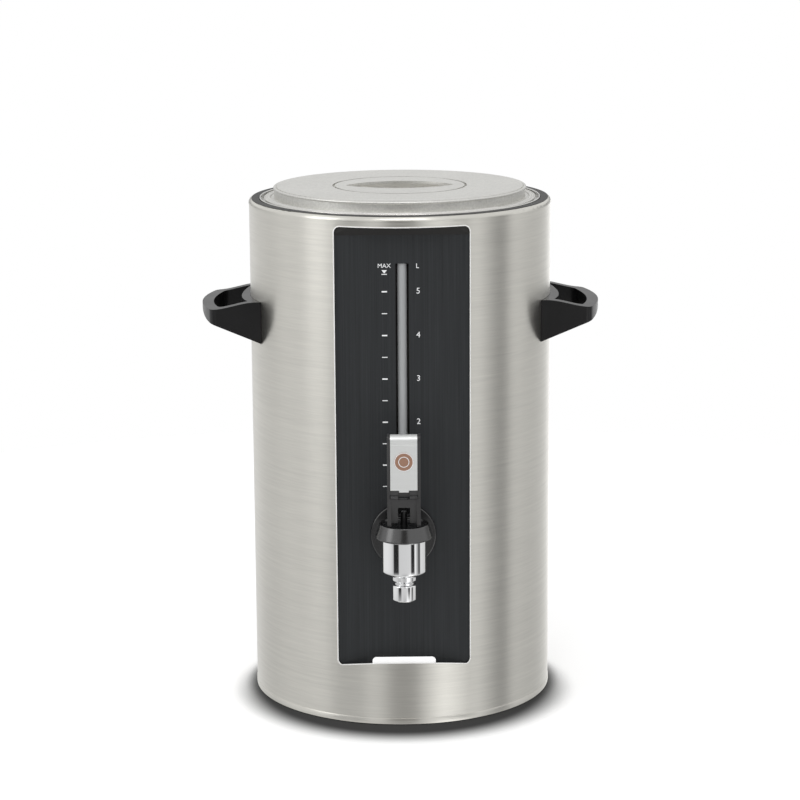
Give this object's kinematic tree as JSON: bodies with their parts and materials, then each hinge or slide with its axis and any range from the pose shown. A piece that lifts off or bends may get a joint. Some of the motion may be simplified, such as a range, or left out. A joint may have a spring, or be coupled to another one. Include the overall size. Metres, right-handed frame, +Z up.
{
  "type": "insulated drinks urn",
  "caption": "Round double-walled steel drinks urn with a flat black front panel, sight gauge, self-closing lever tap, side handles and a lift-off lid.",
  "frame": {"origin": "on the table, under the middle of the footprint; the tank axis stands 20 mm behind it", "axes": "+Z up, the tap and panel face -Y, +X to the right seen from the front"},
  "size_m": [0.317, 0.2812, 0.41],
  "materials": {
    "shell_steel": "circumferentially brushed stainless sheet",
    "lid_steel": "fine satin stainless, brushed on its wall",
    "tank_steel": "smooth drawn stainless",
    "bright_steel": "plain zinc-plated or stainless fasteners",
    "dark_steel": "black-oxide steel pin",
    "badge_copper": "copper-coloured satin disc",
    "insert_steel": "fine satin stainless plate",
    "panel_black": "black vertically brushed sheet",
    "black_plastic": "satin black moulded plastic",
    "ring_plastic": "dark grey satin plastic",
    "frame_plastic": "dark moulded plastic",
    "white_plastic": "white plastic",
    "chrome": "polished chrome plating",
    "glass": "clear sight glass",
    "silicone": "translucent silicone",
    "rubber_black": "black rubber",
    "foam": "rigid foam",
    "brass": "nickel-plated brass"
  },
  "bodies": {
    "urn": {"outer_shell": "shell_steel", "top_ring": "ring_plastic", "inner_tank": "tank_steel", "tank_floor": "tank_steel", "insulation": "foam", "base_plate": "tank_steel", "feet": "rubber_black", "foot_screws": "bright_steel", "front_frame": "frame_plastic", "front_plate": "panel_black", "sill_insert": "white_plastic", "gauge_tube": "glass", "gauge_tee": "black_plastic", "gauge_cap": "black_plastic", "gauge_seals": "rubber_black", "tap_rosette": "black_plastic", "tap_body": "chrome", "tap_spout": "chrome", "tap_nozzle": "chrome", "tap_bonnet": "black_plastic", "shank_nut": "brass", "shank_seals": "silicone", "stem_seal": "silicone", "return_spring": "bright_steel", "handle_left": "black_plastic", "handle_right": "black_plastic", "handle_brackets": "tank_steel", "handle_screws": "bright_steel"},
    "lid": {"lid_cover": "lid_steel", "lid_grip": "lid_steel", "lid_cup": "lid_steel", "lid_pan": "tank_steel", "lid_core": "foam", "lid_seal": "silicone"},
    "valve": {"valve_stem": "black_plastic", "valve_cup": "silicone"},
    "lever": {"lever_frame": "black_plastic", "lever_insert": "insert_steel", "lever_badge": "badge_copper", "lever_pin": "dark_steel"}
  },
  "joints": [
    {"name": "lid_lift", "type": "slide", "parent": "urn", "child": "lid", "axis": [0, 0, 1], "range_m": [0, 0.06]},
    {"name": "valve_lift", "type": "slide", "parent": "urn", "child": "valve", "axis": [0, 0, 1], "range_m": [0, 0.0038], "deforming": ["return_spring"]},
    {"name": "lever_tilt", "type": "hinge", "parent": "valve", "child": "lever", "pos_m": [0, -0.11875, 0.1751], "axis": [1, 0, 0], "range_deg": [0, 30], "stiffness_Nm_per_rad": 0.03, "springref_deg": -40.11}
  ],
  "couplings": [
    {"joint": "valve_lift", "follows": "lever_tilt", "m_per_rad": 0.0072}
  ]
}
